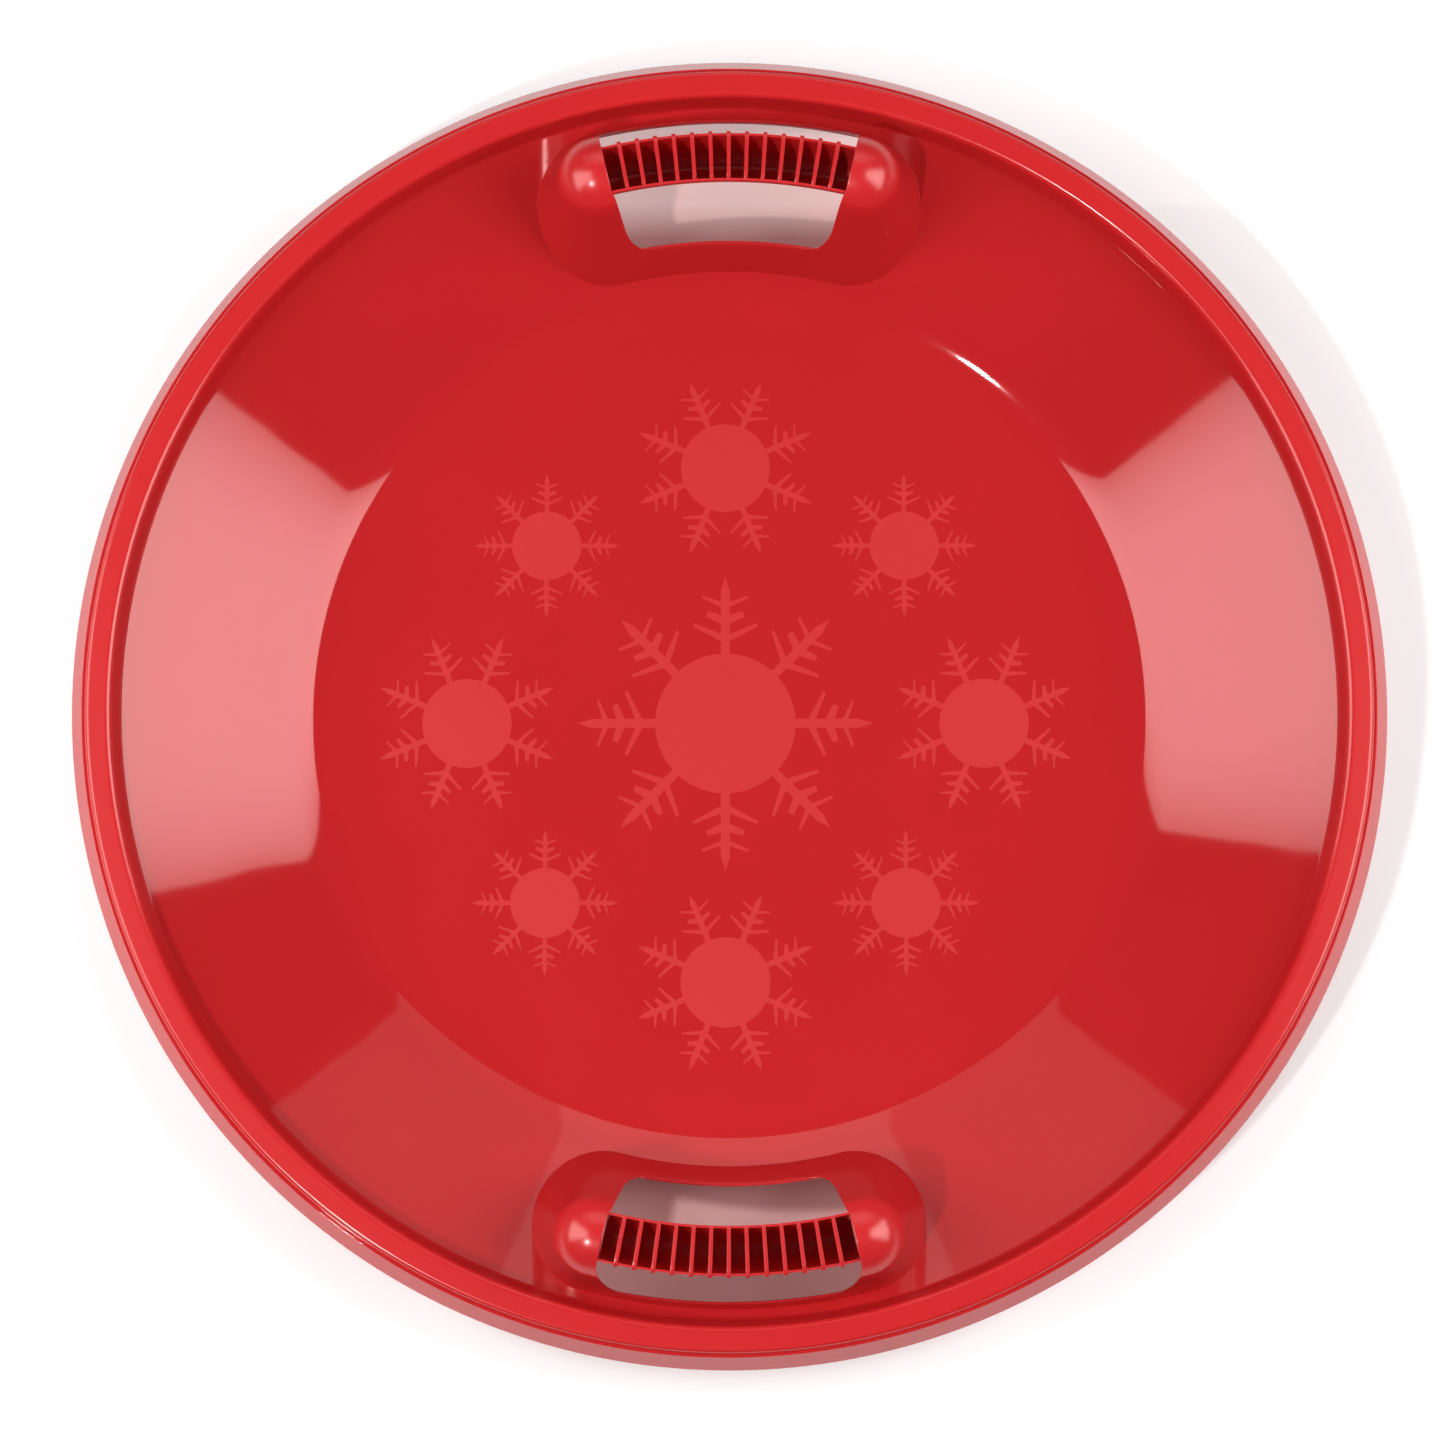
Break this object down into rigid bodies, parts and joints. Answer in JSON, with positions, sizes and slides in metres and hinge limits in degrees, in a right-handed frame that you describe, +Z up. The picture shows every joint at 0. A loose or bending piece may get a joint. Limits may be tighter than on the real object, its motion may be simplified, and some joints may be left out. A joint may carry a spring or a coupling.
{
  "type": "saucer sled",
  "caption": "Round dished snow sled with a rolled rim, two raised hand openings with ribbed grip bars, and snowflakes printed on its flat floor.",
  "frame": {"origin": "middle of the underside, where the sled stands on the ground", "axes": "+Z up; the two handles lie at -Y (front) and +Y (rear), the grip bars run along X"},
  "size_m": [0.66, 0.66, 0.1006],
  "materials": {
    "red_plastic": "glossy moulded red plastic",
    "print": "thin satin print, a little lighter than the dish"
  },
  "bodies": {
    "root": {"dish_shell": "red_plastic", "front_handle_surround": "red_plastic", "rear_handle_surround": "red_plastic", "front_grip_bar": "red_plastic", "rear_grip_bar": "red_plastic", "centre_snowflake": "print", "right_snowflake": "print", "rear_right_snowflake": "print", "rear_snowflake": "print", "rear_left_snowflake": "print", "left_snowflake": "print", "front_left_snowflake": "print", "front_snowflake": "print", "front_right_snowflake": "print"}
  },
  "joints": []
}
